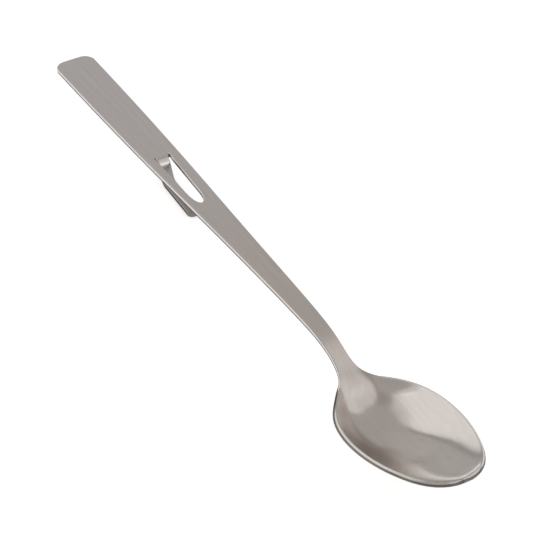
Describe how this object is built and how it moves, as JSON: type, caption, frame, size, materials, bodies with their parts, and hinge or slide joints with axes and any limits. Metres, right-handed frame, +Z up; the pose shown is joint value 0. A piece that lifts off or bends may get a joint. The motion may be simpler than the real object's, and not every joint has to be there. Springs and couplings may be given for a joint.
{
  "type": "jam spoon",
  "caption": "Slender steel spoon with an oval bowl and a long tapered handle, with a sprung tongue lanced out of the handle that hooks over a jar's rim.",
  "frame": {"origin": "under the middle of the overall length, on the surface that the spoon lies on", "axes": "+X from the handle's end to the bowl's tip, +Y to the left of that, +Z up out of the bowl"},
  "size_m": [0.2012, 0.0284, 0.0127],
  "materials": {
    "steel": "satin stainless steel, brighter in the bowl"
  },
  "bodies": {
    "spoon": {"spoon_body": "steel"},
    "clip": {"clip_tongue": "steel"}
  },
  "joints": [
    {"name": "clip_flex", "type": "hinge", "parent": "spoon", "child": "clip", "pos_m": [-0.04565, -0.0003, 0.0058], "axis": [0.0262, 0.9997, 0], "range_deg": [-2.5, 2.5], "stiffness_Nm_per_rad": 11}
  ]
}
